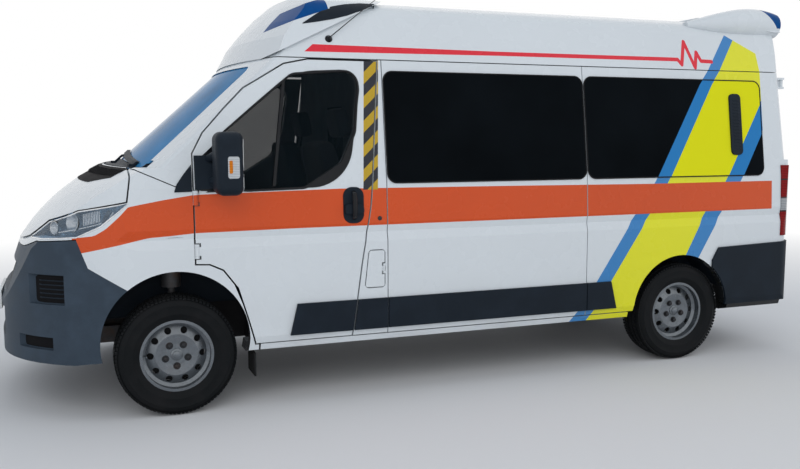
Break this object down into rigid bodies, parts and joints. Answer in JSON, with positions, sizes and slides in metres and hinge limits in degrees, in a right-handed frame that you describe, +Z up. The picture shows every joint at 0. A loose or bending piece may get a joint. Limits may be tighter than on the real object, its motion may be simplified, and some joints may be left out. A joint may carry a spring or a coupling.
{
  "type": "high-roof van ambulance",
  "caption": "High-roof panel van fitted out as an ambulance: hollow body with hinged cab doors, rear doors, bonnet and fuel flap, steered front wheels, roof fairings with corner beacons.",
  "frame": {"origin": "on the ground under the middle of the vehicle's length and width", "axes": "+X forward along the vehicle, +Y to the driver's left, +Z up"},
  "size_m": [5.413, 2.51, 2.5009],
  "materials": {
    "white_paint": "gloss",
    "black_plastic": "matte",
    "grey_plastic": "satin",
    "glass": "gloss",
    "lamp_lens": "gloss",
    "red_lens": "gloss",
    "blue_lens": "gloss",
    "seat_fabric": "matte",
    "cast_metal": "matte",
    "dark_metal": "satin",
    "tank_plastic": "matte",
    "mud_rubber": "matte",
    "steel": "satin",
    "rubber": "matte"
  },
  "bodies": {
    "body": {"beacons": "blue_lens", "bulkhead": "grey_plastic", "bumper_front": "grey_plastic", "bumper_rear": "black_plastic", "cab_frame": "white_paint", "cab_seats": "seat_fabric", "cowl": "black_plastic", "dashboard": "black_plastic", "engine": "cast_metal", "exhaust": "dark_metal", "fairing_front": "white_paint", "fairing_rear": "white_paint", "firewall": "white_paint", "floor": "white_paint", "front_panel": "white_paint", "front_suspension": "cast_metal", "fuel_tank": "tank_plastic", "grille": "black_plastic", "headlamps": "lamp_lens", "hinges": "white_paint", "leaf_springs": "cast_metal", "mud_flaps": "mud_rubber", "rear_axle": "cast_metal", "roof": "white_paint", "side_cladding": "black_plastic", "side_glass": "glass", "side_left": "white_paint", "side_right": "white_paint", "sliding_door": "white_paint", "steering_wheel": "black_plastic", "tail_lamps": "red_lens", "wheel_housings": "black_plastic", "windscreen": "glass", "wings": "white_paint", "wipers": "black_plastic"},
    "steer_left": {"knuckle_left": "cast_metal"},
    "steer_right": {"knuckle_right": "cast_metal"},
    "door_left": {"door_left": "white_paint", "door_glass_left": "glass", "door_trim_left": "black_plastic"},
    "door_right": {"door_right": "white_paint", "door_glass_right": "glass", "door_trim_right": "black_plastic"},
    "rear_door_left": {"rear_door_left": "white_paint", "rear_glass_left": "glass"},
    "rear_door_right": {"rear_door_right": "white_paint", "rear_glass_right": "glass"},
    "bonnet": {"bonnet": "white_paint"},
    "fuel_flap": {"fuel_flap": "white_paint"},
    "wheel_front_left": {"rim_front_left": "steel", "tyre_front_left": "rubber"},
    "wheel_front_right": {"rim_front_right": "steel", "tyre_front_right": "rubber"},
    "wheel_rear_left": {"rim_rear_left": "steel", "tyre_rear_left": "rubber"},
    "wheel_rear_right": {"rim_rear_right": "steel", "tyre_rear_right": "rubber"}
  },
  "joints": [
    {"name": "steering_left", "type": "hinge", "parent": "body", "child": "steer_left", "pos_m": [1.7585, 0.77, 0.341], "axis": [0, 0, 1], "range_deg": [-35, 35]},
    {"name": "steering_right", "type": "hinge", "parent": "body", "child": "steer_right", "pos_m": [1.7585, -0.77, 0.341], "axis": [0, 0, 1], "range_deg": [-35, 35]},
    {"name": "wheel_front_left_spin", "type": "hinge", "parent": "steer_left", "child": "wheel_front_left", "pos_m": [1.7585, 0.905, 0.341], "axis": [0, 1, 0], "continuous": true},
    {"name": "wheel_front_right_spin", "type": "hinge", "parent": "steer_right", "child": "wheel_front_right", "pos_m": [1.7585, -0.905, 0.341], "axis": [0, 1, 0], "continuous": true},
    {"name": "wheel_rear_left_spin", "type": "hinge", "parent": "body", "child": "wheel_rear_left", "pos_m": [-1.6915, 0.895, 0.341], "axis": [0, 1, 0], "continuous": true},
    {"name": "wheel_rear_right_spin", "type": "hinge", "parent": "body", "child": "wheel_rear_right", "pos_m": [-1.6915, -0.895, 0.341], "axis": [0, 1, 0], "continuous": true},
    {"name": "door_left_hinge", "type": "hinge", "parent": "body", "child": "door_left", "pos_m": [1.637, 1.018, 1.085], "axis": [0, 0, -1], "range_deg": [0, 70]},
    {"name": "door_right_hinge", "type": "hinge", "parent": "body", "child": "door_right", "pos_m": [1.637, -1.018, 1.085], "axis": [0, 0, 1], "range_deg": [0, 70]},
    {"name": "rear_door_left_hinge", "type": "hinge", "parent": "body", "child": "rear_door_left", "pos_m": [-2.675, 0.8345, 1.43], "axis": [0, 0, -1], "range_deg": [0, 180]},
    {"name": "rear_door_right_hinge", "type": "hinge", "parent": "body", "child": "rear_door_right", "pos_m": [-2.675, -0.8345, 1.43], "axis": [0, 0, 1], "range_deg": [0, 180]},
    {"name": "bonnet_hinge", "type": "hinge", "parent": "body", "child": "bonnet", "pos_m": [1.965, 0, 1.385], "axis": [0, -1, 0], "range_deg": [0, 55]},
    {"name": "fuel_flap_hinge", "type": "hinge", "parent": "body", "child": "fuel_flap", "pos_m": [0.5285, 1.026, 0.78], "axis": [0, 0, 1], "range_deg": [0, 90]}
  ],
  "couplings": [
    {"joint": "steering_right", "follows": "steering_left", "ratio": 1}
  ]
}
